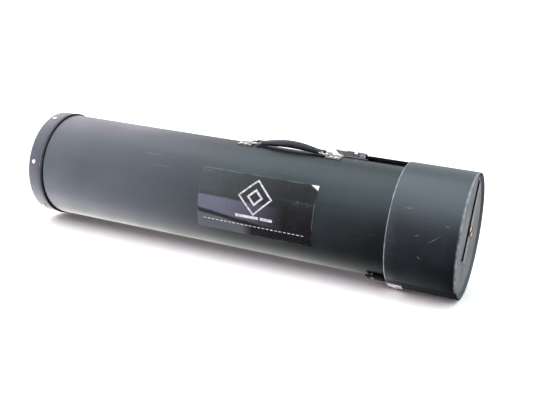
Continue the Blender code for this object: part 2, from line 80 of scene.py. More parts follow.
# ---------------------------------------------------------------- node helpers
class Shader:
    """A Principled material being wired up."""

    def __init__(self, name, **values):
        self.material = bpy.data.materials.new(name)
        self.material.use_nodes = True
        self.tree = self.material.node_tree
        self.principled = self.tree.nodes["Principled BSDF"]
        for socket, value in values.items():
            self.principled.inputs[socket.replace("_", " ")].default_value = value

    def node(self, kind, inputs=None, **settings):
        made = self.tree.nodes.new(kind)
        for key, value in settings.items():
            setattr(made, key, value)
        for key, value in (inputs or {}).items():
            self.feed(made.inputs[key], value)
        return made

    def feed(self, socket, value):
        if isinstance(value, bpy.types.NodeSocket):
            self.tree.links.new(value, socket)
        else:
            socket.default_value = value

    def math(self, operation, a, b=0.0, clamp=False):
        made = self.node("ShaderNodeMath", operation=operation, use_clamp=clamp)
        self.feed(made.inputs[0], a)
        self.feed(made.inputs[1], b)
        return made.outputs[0]

    def ramp(self, value, low, high, start=0.0, end=1.0):
        """Map a value from low..high to start..end, clamped."""
        made = self.node("ShaderNodeMapRange", {"Value": value, "From Min": low, "From Max": high,
                                                "To Min": start, "To Max": end})
        made.clamp = True
        return made.outputs["Result"]

    def mix(self, factor, first, second):
        made = self.node("ShaderNodeMix", data_type="RGBA")
        self.feed(made.inputs["Factor"], factor)
        self.feed(made.inputs["A"], first)
        self.feed(made.inputs["B"], second)
        return made.outputs["Result"]

    def position(self):
        return self.node("ShaderNodeTexCoord").outputs["Object"]

    def unrolled(self):
        """(x, arc length, radius) round the tube axis, and the angle in degrees from the front."""
        split = self.node("ShaderNodeSeparateXYZ", {"Vector": self.position()})
        height = self.math("SUBTRACT", split.outputs["Z"], AXIS_Z)
        toward = self.math("MULTIPLY", split.outputs["Y"], -1.0)
        angle = self.math("ARCTAN2", height, toward)
        radius = self.math("SQRT", self.math("ADD", self.math("POWER", self.math("ABSOLUTE", height), 2.0),
                                             self.math("POWER", self.math("ABSOLUTE", toward), 2.0)))
        flat = self.node("ShaderNodeCombineXYZ", {"X": split.outputs["X"],
                                                  "Y": self.math("MULTIPLY", angle, 0.1), "Z": radius})
        return flat.outputs[0], self.math("MULTIPLY", angle, 180.0 / math.pi), split.outputs["X"], radius

    def scaled(self, vector, scale):
        return self.node("ShaderNodeMapping", {"Vector": vector, "Scale": scale}).outputs[0]

    def noise(self, vector, scale, detail=4.0, roughness=0.55):
        made = self.node("ShaderNodeTexNoise", {"Vector": vector, "Scale": scale, "Detail": detail,
                                                "Roughness": roughness})
        return made.outputs["Fac"]

    def bump(self, height, distance, strength=1.0, below=None):
        made = self.node("ShaderNodeBump", {"Height": height, "Distance": distance, "Strength": strength})
        if below is not None:
            self.feed(made.inputs["Normal"], below)
        return made.outputs["Normal"]

    def finish(self, colour=None, roughness=None, normal=None, metallic=None):
        for key, value in (("Base Color", colour), ("Roughness", roughness), ("Normal", normal),
                           ("Metallic", metallic)):
            if value is not None:
                self.feed(self.principled.inputs[key], value)
        return self.material


def rgb(red, green, blue):
    return (red, green, blue, 1.0)


def near(shader, value, centre, width):
    """1 at a value, falling to 0 at a distance from it."""
    distance = shader.math("ABSOLUTE", shader.math("SUBTRACT", value, centre))
    return shader.ramp(distance, 0.0, width, 1.0, 0.0)


def scratch_mark(shader, along, degrees, x, angle, length, slope, width=0.0004):
    """A single thin scratch: 1 on the line, with soft ends."""
    per_degree = math.radians(1.0) * TUBE_R
    dx = shader.math("SUBTRACT", along, x)
    dy = shader.math("MULTIPLY", shader.math("SUBTRACT", degrees, angle), per_degree)
    bent = shader.math("MULTIPLY", shader.math("MULTIPLY", dx, dx), 14.0)
    offset = shader.math("SUBTRACT", dy, shader.math("ADD", shader.math("MULTIPLY", dx, slope), bent))
    return shader.math("MULTIPLY", near(shader, offset, 0.0, width), near(shader, dx, 0.0, length / 2))


# ---------------------------------------------------------------- materials
def fibre(name, colour, light, edges, gloss, coat, tint, marks=(), painted_shade_below=None,
          inner_radius=None):
    """Lacquered vulcanised fibre: mottled, scuffed along its length, pale where an edge has rubbed (widened
    into a painted highlight at the lid's end rim); with optional painted shade below an angle and painted light
    on the inner wall near the open end.
    """
    s = Shader(name, Coat_Weight=coat, Coat_Roughness=0.30, Coat_Tint=tint, Specular_Tint=tint)
    flat, degrees, along, radius = s.unrolled()
    cloud = s.noise(flat, 9.0, 5.0)
    grain = s.noise(s.scaled(flat, (60.0, 900.0, 60.0)), 1.0, 3.0)
    speck = s.ramp(s.noise(flat, 420.0, 2.0), 0.70, 0.78)
    streak = s.ramp(s.noise(s.scaled(flat, (5.0, 420.0, 1.0)), 1.0, 2.0), 0.68, 0.76)
    patch = s.ramp(s.noise(flat, 14.0, 3.0), 0.5, 0.62)
    scratch = s.math("MULTIPLY", streak, patch)
    tone = s.mix(s.ramp(cloud, 0.35, 0.68), colour, light)
    tone = s.mix(s.ramp(grain, 0.4, 0.75, 0.0, 0.25), tone, light)
    tone = s.mix(s.math("MULTIPLY", scratch, 0.55), tone, rgb(0.20, 0.21, 0.22))
    tone = s.mix(s.math("MULTIPLY", speck, 0.35), tone, rgb(0.16, 0.17, 0.18))
    # pale rubbed edges; at the lid's end rim the pale band is widened into a painted highlight on the rounded
    # edge
    wear_and_highlight = None
    rub = s.ramp(s.noise(flat, 120.0, 4.0), 0.32, 0.62, 0.25, 1.0)
    for place, width in edges:
        ring = s.math("MULTIPLY", near(s, along, place, width), rub)
        wear_and_highlight = ring if wear_and_highlight is None else s.math("MAXIMUM", wear_and_highlight, ring)
    if wear_and_highlight is not None:
        tone = s.mix(s.math("MULTIPLY", wear_and_highlight, 0.85), tone, rgb(0.34, 0.34, 0.37))
    for x, angle, length, slope in marks:
        line = scratch_mark(s, along, degrees, x, angle, length, slope)
        tone = s.mix(s.math("MULTIPLY", line, 0.9), tone, rgb(0.30, 0.31, 0.32))
    rough = s.ramp(cloud, 0.3, 0.7, gloss - 0.05, gloss + 0.08)
    rough = s.math("ADD", rough, s.math("MULTIPLY", scratch, 0.25), clamp=True)
    if painted_shade_below is not None:
        # painted shade: below this angle the lid's underside is painted near black, with duller gloss
        under = s.ramp(degrees, painted_shade_below, painted_shade_below - 4.0)
        tone = s.mix(under, tone, rgb(0.0015, 0.0015, 0.0015))
        rough = s.math("MAXIMUM", rough, s.math("MULTIPLY", under, 0.95))
    if inner_radius is not None:
        # painted light: the skirt's inner wall in front of the end disc is painted pale grey
        inner = s.ramp(radius, inner_radius + 0.0008, inner_radius)
        inner = s.math("MULTIPLY", inner, s.ramp(along, 0.417, 0.419))
        tone = s.mix(inner, tone, rgb(0.10, 0.10, 0.105))
    wave = s.bump(s.noise(s.scaled(flat, (2.2, 16.0, 4.0)), 1.0, 2.0), 0.0012, 0.35)
    lines = s.noise(s.scaled(flat, (9.0, 520.0, 9.0)), 1.0, 3.0)
    fine = s.bump(lines, 0.00025, 0.55, wave)
    dent = s.bump(scratch, 0.00008, 0.6, fine)
    return s.finish(tone, rough, dent)


def disc_board(name):
    """Grey end board with a fibrous felted surface, darkened near its rim as painted shade from the recess."""
    s = Shader(name)
    flat, degrees, along, radius = s.unrolled()
    place = s.position()
    cloud = s.noise(place, 22.0, 5.0)
    felt = s.noise(place, 700.0, 4.0, 0.7)
    tone = s.mix(s.ramp(cloud, 0.35, 0.65), rgb(0.120, 0.122, 0.126), rgb(0.185, 0.187, 0.190))
    tone = s.mix(s.ramp(felt, 0.35, 0.7, 0.0, 0.5), tone, rgb(0.30, 0.302, 0.31))
    # painted shade: the board darkens towards its rim, where the recess in the skirt shades it
    rim = s.ramp(radius, 0.098, 0.108)
    tone = s.mix(s.math("MULTIPLY", rim, 0.6), tone, rgb(0.06, 0.06, 0.062))
    line = s.ramp(s.noise(s.scaled(place, (60.0, 60.0, 900.0)), 1.0, 2.0), 0.70, 0.76)
    tone = s.mix(s.math("MULTIPLY", line, 0.4), tone, rgb(0.3, 0.3, 0.31))
    return s.finish(tone, s.ramp(cloud, 0.3, 0.7, 0.48, 0.62), s.bump(felt, 0.00012, 0.6))


def plated(name, colour, dark, rough=0.26, tarnish=0.5, metal=1.0):
    """Nickel or brass plate with tarnish clouds, brushed grain and pits."""
    s = Shader(name, Metallic=metal)
    place = s.position()
    cloud = s.noise(place, 160.0, 5.0)
    pits = s.ramp(s.noise(place, 1500.0, 2.0), 0.66, 0.74)
    brush = s.noise(s.scaled(place, (150.0, 2600.0, 2600.0)), 1.0, 2.0)
    tone = s.mix(s.math("MULTIPLY", s.ramp(cloud, 0.4, 0.66), tarnish), colour, dark)
    tone = s.mix(s.math("MULTIPLY", pits, 0.5), tone, rgb(0.08, 0.075, 0.07))
    roughness = s.math("ADD", s.ramp(cloud, 0.3, 0.7, rough - 0.06, rough + 0.14),
                       s.math("MULTIPLY", pits, 0.3), clamp=True)
    return s.finish(tone, roughness, s.bump(brush, 0.00002, 0.5, s.bump(pits, 0.00004, 0.6)))


def rubber(name, colour, rough=0.62):
    s = Shader(name)
    place = s.position()
    fine = s.noise(place, 900.0, 3.0)
    dust = s.ramp(s.noise(place, 60.0, 5.0), 0.5, 0.75)
    tone = s.mix(s.math("MULTIPLY", dust, 0.35), colour, rgb(0.08, 0.08, 0.082))
    return s.finish(tone, s.ramp(fine, 0.3, 0.7, rough - 0.06, rough + 0.12), s.bump(fine, 0.00005, 0.5))


def foam(name):
    s = Shader(name, Sheen_Weight=0.3, Sheen_Roughness=0.6)
    cells = s.node("ShaderNodeTexVoronoi", {"Vector": s.position(), "Scale": 700.0})
    tone = s.mix(s.ramp(cells.outputs["Distance"], 0.0, 0.6), rgb(0.03, 0.03, 0.032), rgb(0.10, 0.10, 0.105))
    return s.finish(tone, 0.95, s.bump(cells.outputs["Distance"], 0.0004, 0.7))


def webbing(name):
    """Black woven webbing: ribs along the strap crossed by picks, with a little dust and fuzz."""
    s = Shader(name, Sheen_Weight=0.01, Sheen_Roughness=0.5, Specular_IOR_Level=0.12)
    uv = s.node("ShaderNodeUVMap", uv_map="weave").outputs["UV"]
    split = s.node("ShaderNodeSeparateXYZ", {"Vector": uv})
    ribs = s.math("SINE", s.math("MULTIPLY", split.outputs["Y"], math.tau / 0.0019))
    shift = s.math("MULTIPLY", s.math("SIGN", ribs), 0.00055)
    picks = s.math("SINE", s.math("MULTIPLY", s.math("ADD", split.outputs["X"], shift), math.tau / 0.0022))
    weave = s.math("MULTIPLY", s.math("ABSOLUTE", ribs), s.ramp(picks, -1.0, 1.0, 0.45, 1.0))
    dust = s.ramp(s.noise(s.position(), 90.0, 5.0), 0.45, 0.75)
    tone = s.mix(weave, rgb(0.0015, 0.0015, 0.0017), rgb(0.0075, 0.0075, 0.0085))
    tone = s.mix(s.math("MULTIPLY", dust, 0.12), tone, rgb(0.07, 0.07, 0.072))
    # painted light: near and on the end face the black webbing is painted pale grey, a lit copy of the strap
    place = s.node("ShaderNodeSeparateXYZ", {"Vector": s.position()}).outputs["X"]
    worn = s.math("MULTIPLY", s.ramp(place, 0.4160, 0.4190), s.ramp(weave, 0.0, 0.8, 0.6, 1.0))
    # the strap's near edge stays dark on the end face: a painted shadow line along it
    worn = s.math("MULTIPLY", worn, s.ramp(split.outputs["Y"], -0.0098, -0.0086))
    tone = s.mix(worn, tone, rgb(0.27, 0.27, 0.275))
    return s.finish(tone, s.ramp(weave, 0.0, 1.0, 0.92, 0.72), s.bump(weave, 0.00035, 0.9))


def leather(name):
    """Dark pebbled leather, its tone and gloss varying in clouds."""
    s = Shader(name, Specular_IOR_Level=0.28)
    place = s.position()
    pebble = s.node("ShaderNodeTexVoronoi", {"Vector": place, "Scale": 950.0}, feature="SMOOTH_F1")
    cloud = s.noise(place, 70.0, 5.0)
    tone = s.mix(s.ramp(cloud, 0.35, 0.7), rgb(0.0025, 0.004, 0.0055), rgb(0.008, 0.012, 0.016))
    tone = s.mix(s.ramp(pebble.outputs["Distance"], 0.25, 0.7, 0.0, 0.5), tone, rgb(0.006, 0.006, 0.007))
    grain = s.bump(pebble.outputs["Distance"], 0.00018, -0.5)
    return s.finish(tone, s.ramp(cloud, 0.3, 0.7, 0.34, 0.50), grain)


def thread(name, colour):
    s = Shader(name)
    twist = s.math("SINE", s.math("MULTIPLY", s.noise(s.position(), 900.0, 2.0), 18.0))
    return s.finish(s.mix(s.ramp(twist, -1.0, 1.0), colour, rgb(0.09, 0.09, 0.095)), 0.8,
                    s.bump(twist, 0.00008, 0.6))


def label_film(name):
    """Glossy dark film with painted light: greener and lighter towards its top and its base end, with pale
    bluish bands as painted reflections; also a dark slanting streak, scuffs, and a corner rubbed white.
    """
    s = Shader(name, Specular_IOR_Level=0.22)
    flat, degrees, along, radius = s.unrolled()
    u = s.ramp(along, LABEL_LOW.x, LABEL_HIGH.x)
    v = s.ramp(degrees, LABEL_DEG[0], LABEL_DEG[1])
    cloud = s.noise(flat, 26.0, 5.0)
    # painted light: the film is greener and lighter towards its top and its base end, black below
    green = s.mix(s.ramp(u, 0.05, 0.75), rgb(0.026, 0.037, 0.036), rgb(0.006, 0.008, 0.008))
    tone = s.mix(s.ramp(v, 0.42, 0.62), rgb(0.0035, 0.0035, 0.004), green)
    wobble = s.math("ADD", v, s.math("MULTIPLY", s.math("SUBTRACT", cloud, 0.5), 0.05))
    fold = s.math("ADD", wobble, s.math("MULTIPLY", u, 0.22))
    # painted reflections: a pale bluish slanting band and a paler patch lower down
    band = s.math("MULTIPLY", s.ramp(fold, 0.335, 0.355), s.ramp(wobble, 0.57, 0.54))
    band = s.math("MULTIPLY", band, s.ramp(u, 0.20, 0.75, 1.0, 0.0))
    tone = s.mix(s.math("MULTIPLY", band, 0.9), tone, rgb(0.085, 0.092, 0.125))
    lower = s.math("MULTIPLY", s.ramp(fold, 0.285, 0.265), s.ramp(u, 0.40, 0.48, 1.0, 0.0))
    tone = s.mix(s.math("MULTIPLY", lower, 0.85), tone, rgb(0.068, 0.080, 0.085))
    streak = near(s, s.math("SUBTRACT", wobble, s.math("MULTIPLY", u, -0.06)), 0.74, 0.03)
    tone = s.mix(s.math("MULTIPLY", streak, s.ramp(u, 0.5, 0.9, 0.0, 0.5)), tone, rgb(0.03, 0.034, 0.036))
    speck = s.ramp(s.noise(flat, 330.0, 2.0), 0.71, 0.77)
    tone = s.mix(s.math("MULTIPLY", speck, 0.5), tone, rgb(0.30, 0.31, 0.33))
    hair = s.ramp(s.noise(s.scaled(flat, (18.0, 520.0, 1.0)), 1.0, 2.0), 0.71, 0.76)
    tone = s.mix(s.math("MULTIPLY", hair, 0.35), tone, rgb(0.22, 0.23, 0.25))
    corner = s.math("ADD", s.ramp(u, 0.90, 1.0), s.ramp(v, 0.86, 1.0))
    torn = s.ramp(s.math("ADD", corner, s.math("MULTIPLY", s.math("SUBTRACT", cloud, 0.5), 1.4)), 1.15, 1.35)
    tone = s.mix(torn, tone, rgb(0.55, 0.55, 0.54))
    frayed = s.math("MAXIMUM", near(s, u, 0.0, 0.006), s.math("MAXIMUM", near(s, u, 1.0, 0.006),
                    s.math("MAXIMUM", near(s, v, 0.0, 0.012), near(s, v, 1.0, 0.012))))
    tone = s.mix(s.math("MULTIPLY", frayed, s.ramp(cloud, 0.4, 0.6, 0.1, 0.6)), tone, rgb(0.22, 0.225, 0.24))
    rough = s.math("ADD", s.ramp(cloud, 0.3, 0.7, 0.22, 0.34), s.math("MULTIPLY", torn, 0.4), clamp=True)
    ripple = s.bump(s.noise(s.scaled(flat, (10.0, 28.0, 4.0)), 1.0, 2.0), 0.0010, 0.35)
    return s.finish(tone, rough, s.bump(hair, 0.00004, 0.5, ripple))


def ink(name):
    """Pale print, worn through in places."""
    s = Shader(name)
    flat, degrees, along, radius = s.unrolled()
    worn = s.ramp(s.noise(flat, 160.0, 5.0), 0.40, 0.62)
    tone = s.mix(worn, rgb(0.50, 0.49, 0.51), rgb(0.26, 0.26, 0.28))
    return s.finish(tone, s.ramp(worn, 0.0, 1.0, 0.35, 0.55), s.bump(worn, 0.00003, 0.4))


def pale_floor(name):
    s = Shader(name, Specular_IOR_Level=0.1)
    cloud = s.noise(s.position(), 3.0, 4.0)
    return s.finish(s.mix(cloud, rgb(0.96, 0.93, 0.90), rgb(0.97, 0.94, 0.91)), 0.9)


# ---------------------------------------------------------------- mesh helpers
def piece(name, bm, mat, body, nodes=(), matrix=None, smooth=True, sharp=32):
    """Turn a bmesh into a piece that rides on a body and stands for CAD nodes."""
    if matrix is not None:
        bmesh.ops.transform(bm, matrix=matrix, verts=bm.verts)
    bmesh.ops.recalc_face_normals(bm, faces=bm.faces)
    mesh = bpy.data.meshes.new(name)
    bm.to_mesh(mesh)
    bm.free()
    mesh.materials.append(mat)
    if smooth:
        mesh.shade_smooth()
        mesh.set_sharp_from_angle(angle=math.radians(sharp))
    item = bpy.data.objects.new(name, mesh)
    bpy.context.scene.collection.objects.link(item)
    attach(item, body)
    if nodes:
        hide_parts(*nodes)
    return item


def rounded_profile(corners, steps=5):
    """Closed profile of (along, radius, corner radius) points with its corners rounded."""
    points = []
    count = len(corners)
    for index, (a, r, fillet) in enumerate(corners):
        here = Vector((a, r))
        if fillet <= 0:
            points.append((a, r))
            continue
        before = Vector(corners[index - 1][:2])
        after = Vector(corners[(index + 1) % count][:2])
        start = here + (before - here).normalized() * fillet
        end = here + (after - here).normalized() * fillet
        for step in range(steps + 1):
            t = step / steps
            spot = start.lerp(here, t).lerp(here.lerp(end, t), t)
            points.append((spot.x, spot.y))
    return points


def turned(points, sides=256, warp=0.0, seed=1):
    """Body turned round the tube axis from a closed (x, radius) profile, with a slight waviness."""
    rng = random.Random(seed)
    phases = [(k, rng.uniform(0, math.tau), rng.uniform(0.4, 1.0)) for k in (2, 3, 5, 9, 14)]
    total = sum(weight for _, _, weight in phases)
    bm = bmesh.new()
    rows = []
    for x, radius in points:
        if radius < 1e-7:
            rows.append([bm.verts.new((x, 0.0, AXIS_Z))])
            continue
        row = []
        for step in range(sides):
            angle = math.tau * step / sides
            wave = sum(w * math.sin(k * angle + p + x * 6.0) for k, p, w in phases) / total
            r = radius - warp * (0.5 + 0.5 * wave)
            row.append(bm.verts.new((x, -r * math.cos(angle), AXIS_Z + r * math.sin(angle))))
        rows.append(row)
    for first, second in zip(rows, rows[1:] + rows[:1]):
        join_rows(bm, first, second)
    return bm


def join_rows(bm, first, second, closed=True):
    count = max(len(first), len(second))
    if count == 1:
        return
    for step in range(count if closed else count - 1):
        following = (step + 1) % count
        ring = [first[step % len(first)], first[following % len(first)],
                second[following % len(second)], second[step % len(second)]]
        unique = list(dict.fromkeys(ring))
        if len(unique) > 2:
            bm.faces.new(unique)


def wrapped_patch(x_range, r_range, degree_range, steps, columns=1):
    """Closed thin shell on the tube between two angles and two x values."""
    return wrapped_outline(
        lambda t: (x_range[0] + (x_range[1] - x_range[0]) * t, degree_range), columns, steps, r_range)


def wrapped_outline(section, columns, steps, r_range):
    """Shell on the tube: section(t) gives x and its (low, high) angles for t from 0 to 1."""
    bm = bmesh.new()
    rows = []
    for column in range(columns + 1):
        x, (low, high) = section(column / columns)
        row = []
        for radius, order in ((r_range[1], range(steps + 1)), (r_range[0], range(steps, -1, -1))):
            for step in order:
                angle = math.radians(low + (high - low) * step / steps)
                row.append(bm.verts.new((x, -radius * math.cos(angle), AXIS_Z + radius * math.sin(angle))))
        rows.append(row)
    for first, second in zip(rows, rows[1:]):
        join_rows(bm, first, second)
    half = steps + 1
    for row in (rows[0], rows[-1]):
        for step in range(steps):
            mate = 2 * half - 1 - step
            bm.faces.new((row[step], row[step + 1], row[mate - 1], row[mate]))
    return bm


def tube_line(path, radius, sides=8, closed=False):
    """Round wire or thread along a path."""
    bm = bmesh.new()
    rows = []
    count = len(path)
    for index, spot in enumerate(path):
        before = path[index - 1] if (index > 0 or closed) else spot
        after = path[(index + 1) % count] if (index < count - 1 or closed) else spot
        direction = (after - before).normalized()
        helper = Vector((0.0, 0.0, 1.0)) if abs(direction.z) < 0.9 else Vector((0.0, 1.0, 0.0))
        side = direction.cross(helper).normalized()
        lift = side.cross(direction)
        rows.append([bm.verts.new(spot + (side * math.cos(math.tau * k / sides)
                                          + lift * math.sin(math.tau * k / sides)) * radius)
                     for k in range(sides)])
    pairs = zip(rows, rows[1:] + (rows[:1] if closed else []))
    for first, second in pairs:
        join_rows(bm, first, second)
    if not closed:
        bm.faces.new(rows[0])
        bm.faces.new(rows[-1])
    return bm


def merge(first, second):
    """Add the second bmesh to the first."""
    mesh = bpy.data.meshes.new("merge")
    second.to_mesh(mesh)
    second.free()
    first.from_mesh(mesh)
    bpy.data.meshes.remove(mesh)
    return first


# ---------------------------------------------------------------- camera, light and floor
def place_camera():
    """The camera stands right of the lid and looks down a little, turned to the left and tilted slightly."""
    data = bpy.data.cameras.new("camera")
    data.lens = 57.35
    data.sensor_width = 36.0
    camera = bpy.data.objects.new("camera", data)
    camera.location = (0.629, -1.4229, AXIS_Z + 0.4024)
    yaw, pitch, roll = math.radians(22.36), math.radians(-14.73), math.radians(4.44)
    turn = Matrix.Rotation(yaw, 4, "Z") @ Matrix.Rotation(pitch, 4, "X")
    look = Matrix.Rotation(math.radians(90.0), 4, "X")
    camera.matrix_world = (Matrix.Translation(camera.location) @ turn @ look
                           @ Matrix.Rotation(roll, 4, "Z"))
    bpy.context.scene.collection.objects.link(camera)
    bpy.context.scene.camera = camera


def area_light(name, place, target, size, power, colour=(1.0, 1.0, 1.0)):
    data = bpy.data.lights.new(name, "AREA")
    data.shape = "RECTANGLE"
    data.size, data.size_y = size
    data.energy = power
    data.color = colour
    light = bpy.data.objects.new(name, data)
    direction = Vector(target) - Vector(place)
    light.location = place
    light.rotation_mode = "QUATERNION"
    light.rotation_quaternion = direction.to_track_quat("-Z", "Y")
    bpy.context.scene.collection.objects.link(light)
    return light


def surroundings():
    """Light round the case, fitted to the photograph's tones: it varies with direction and tint.

    It is not an even studio light, and looks too bright from some other sides.
    """
    world = bpy.data.worlds.new("studio")
    world.use_nodes = True
    tree = world.node_tree

    def node(kind, **settings):
        made = tree.nodes.new(kind)
        for key, value in settings.items():
            setattr(made, key, value)
        return made

    def link(output, socket):
        tree.links.new(output, socket)

    where = node("ShaderNodeTexCoord")
    split = node("ShaderNodeSeparateXYZ")
    link(where.outputs["Generated"], split.inputs["Vector"])
    front = node("ShaderNodeMath", operation="MULTIPLY")
    link(split.outputs["Y"], front.inputs[0])
    front.inputs[1].default_value = -1.0
    turn = node("ShaderNodeMath", operation="ARCTAN2")
    link(split.outputs["Z"], turn.inputs[0])
    link(front.outputs[0], turn.inputs[1])
    share = node("ShaderNodeMapRange")
    share.inputs["From Min"].default_value = -math.pi
    share.inputs["From Max"].default_value = math.pi
    link(turn.outputs[0], share.inputs["Value"])

    def profile(levels):
        """Colour by direction round the tube."""
        made = node("ShaderNodeValToRGB")
        made.color_ramp.interpolation = "EASE"
        stops = made.color_ramp.elements
        for degrees, level, tint in levels:
            place = (degrees + 180.0) / 360.0
            stop = stops[0] if degrees == -180 else stops[-1] if degrees == 180 else stops.new(place)
            stop.color = tuple(level * part / LIGHT_TOP for part in tint) + (1.0,)
        link(share.outputs["Result"], made.inputs["Fac"])
        return made.outputs["Color"]

    def along(low, high, first, second):
        """Blend two profiles by how far the direction leans toward the lid."""
        lean = node("ShaderNodeMapRange", interpolation_type="SMOOTHSTEP")
        lean.inputs["From Min"].default_value = low
        lean.inputs["From Max"].default_value = high
        link(split.outputs["X"], lean.inputs["Value"])
        made = node("ShaderNodeMix", data_type="RGBA")
        link(lean.outputs["Result"], made.inputs["Factor"])
        link(first, made.inputs["A"])
        link(second, made.inputs["B"])
        return made.outputs["Result"]

    lid_end = along(-0.30, -0.21, profile(MIDDLE_LIGHT), profile(RIGHT_LIGHT))
    base_end = along(-0.60, -0.38, profile(LEFT_LIGHT), lid_end)
    both = along(-0.92, -0.70, profile(BASE_LIGHT), base_end)
    path = node("ShaderNodeLightPath")
    seen = node("ShaderNodeMix", data_type="RGBA")
    link(path.outputs["Is Camera Ray"], seen.inputs["Factor"])
    link(both, seen.inputs["A"])
    seen.inputs["B"].default_value = (1.0, 1.0, 1.0, 1.0)
    background = tree.nodes["Background"]
    link(seen.outputs["Result"], background.inputs["Color"])
    background.inputs["Strength"].default_value = LIGHT_TOP
    bpy.context.scene.world = world


# brightness round the tube at the base end, the middle and the lid: degrees from the front, level, tint
LIGHT_TOP = 8.0
WARM, COOL, HAZE, PLAIN = (1.04, 1.0, 0.97), (0.92, 1.0, 1.03), (1.10, 0.96, 1.10), (1.0, 1.0, 1.0)
TOP_LIGHT = [(5, 0.1, PLAIN), (25, 0.6, PLAIN), (45, 1.8, COOL), (66, 2.6, COOL), (85, 2.6, COOL),
             (105, 1.8, COOL), (125, 1.2, COOL), (145, 0.8, COOL), (180, 0.6, PLAIN)]
LEFT_LIGHT = [(-180, 2.2, WARM), (-117, 3.4, WARM), (-77, 6.4, HAZE), (0, 6.4, HAZE), (60, 5.8, HAZE),
              (110, 5.2, HAZE), (145, 3.2, HAZE), (180, 1.5, COOL)]
BASE_LIGHT = [(-180, 0.7, WARM), (-90, 0.7, WARM), (0, 0.8, PLAIN), (90, 1.2, COOL), (180, 0.7, PLAIN)]
MIDDLE_LIGHT = [(-180, 1.3, WARM), (-109, 1.6, WARM), (-97, 0.9, WARM), (-75, 0.1, PLAIN), (5, 0.05, PLAIN),
                (25, 0.3, PLAIN), (45, 1.0, COOL), (66, 1.5, COOL), (85, 1.6, COOL), (105, 1.2, COOL),
                (125, 1.0, COOL), (145, 0.8, COOL), (180, 0.6, PLAIN)]
RIGHT_LIGHT = [(-180, 0.02, PLAIN), (-85, 0.01, PLAIN), (-65, 0.02, PLAIN)] + TOP_LIGHT


def place_studio():
    """White floor and surroundings with one broad soft lamp overhead."""
    bm = bmesh.new()
    bmesh.ops.create_grid(bm, x_segments=2, y_segments=2, size=40.0)
    mesh = bpy.data.meshes.new("floor")
    bm.to_mesh(mesh)
    bm.free()
    mesh.materials.append(pale_floor("floor_paint"))
    floor = bpy.data.objects.new("floor", mesh)
    bpy.context.scene.collection.objects.link(floor)
    floor.visible_glossy = False
    surroundings()
    area_light("overhead_bank", (-0.5, 0.3, 2.2), (0.05, 0.0, 0.1), (1.6, 1.2), 5.0)
    bpy.context.scene.view_settings.view_transform = "Standard"


# ---------------------------------------------------------------- shells
def make_shells(mats):
    tube_in = TUBE_R - WALL
    stations = 24
    length = TUBE_HIGH.x - TUBE_LOW.x
    outer = [(TUBE_LOW.x + length * k / stations, TUBE_R, 0.0) for k in range(1, stations)]
    profile = rounded_profile([(TUBE_LOW.x, TUBE_R, 0.0006)] + outer
                              + [(TUBE_HIGH.x, TUBE_R, 0.0009), (TUBE_HIGH.x, tube_in, 0.0009),
                                 (TUBE_LOW.x, tube_in, 0.0)])
    piece("tube_wall", turned(profile, warp=0.0001, seed=3), mats["tube"], "tube", ["tube_shell"])
    lip = CUP_HIGH.x
    inside = CUP_LOW.x + 0.003
    profile = rounded_profile([(CUP_LOW.x, 0.0, 0.0), (CUP_LOW.x, 0.060, 0.0), (CUP_LOW.x, 0.090, 0.0),
                               (CUP_LOW.x, CUP_R, 0.0022), (lip - 0.008, CUP_R, 0.0), (lip, CUP_R, 0.0007),
                               (lip, TUBE_R + 0.0003, 0.0), (inside, TUBE_R + 0.0003, 0.0), (inside, 0.0, 0.0)])
    piece("base_shell", turned(profile, warp=0.00008, seed=5), mats["cup"], "tube", ["base_cup"])
    crown = [(BEAD_LOW.x, TUBE_R + 0.0003)]
    for step in range(13):
        angle = math.pi * step / 12
        middle = (BEAD_LOW.x + BEAD_HIGH.x) / 2
        crown.append((middle - (BEAD_HIGH.x - BEAD_LOW.x) / 2 * math.cos(angle),
                      BEAD_R - 0.0016 + 0.0016 * math.sin(angle) ** 0.6 if 0 < step < 12 else BEAD_R - 0.0016))
    crown.append((BEAD_HIGH.x, TUBE_R + 0.0003))
    piece("base_binding", turned(crown, seed=7), mats["rubber"], "tube", ["base_edge_bead"])
    lid_in = LID_R - WALL
    profile = rounded_profile([(LID_LOW.x, lid_in, 0.0008), (LID_LOW.x, LID_R, 0.0011),
                               (LID_LOW.x + 0.02, LID_R, 0.0), (LID_LOW.x + 0.06, LID_R, 0.0),
                               (LID_HIGH.x - 0.02, LID_R, 0.0), (LID_HIGH.x, LID_R, 0.0013),
                               (LID_HIGH.x, lid_in, 0.0009)])
    piece("lid_wall", turned(profile, warp=0.0001, seed=11), mats["lid"], "lid", ["lid_skirt"])
    for name, body, swap in (("base_pad", "tube", "pad_base_foam"), ("lid_pad", "lid", "pad_lid_foam")):
        low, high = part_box(name)
        radius = half_width(name)
        profile = rounded_profile([(low.x, 0.0, 0.0), (low.x, radius * 0.5, 0.0), (low.x, radius, 0.0018),
                                   (high.x, radius, 0.0018), (high.x, radius * 0.5, 0.0), (high.x, 0.0, 0.0)])
        foam_piece = piece(swap, turned(profile, sides=96, seed=13), mats["foam"], body, [name])


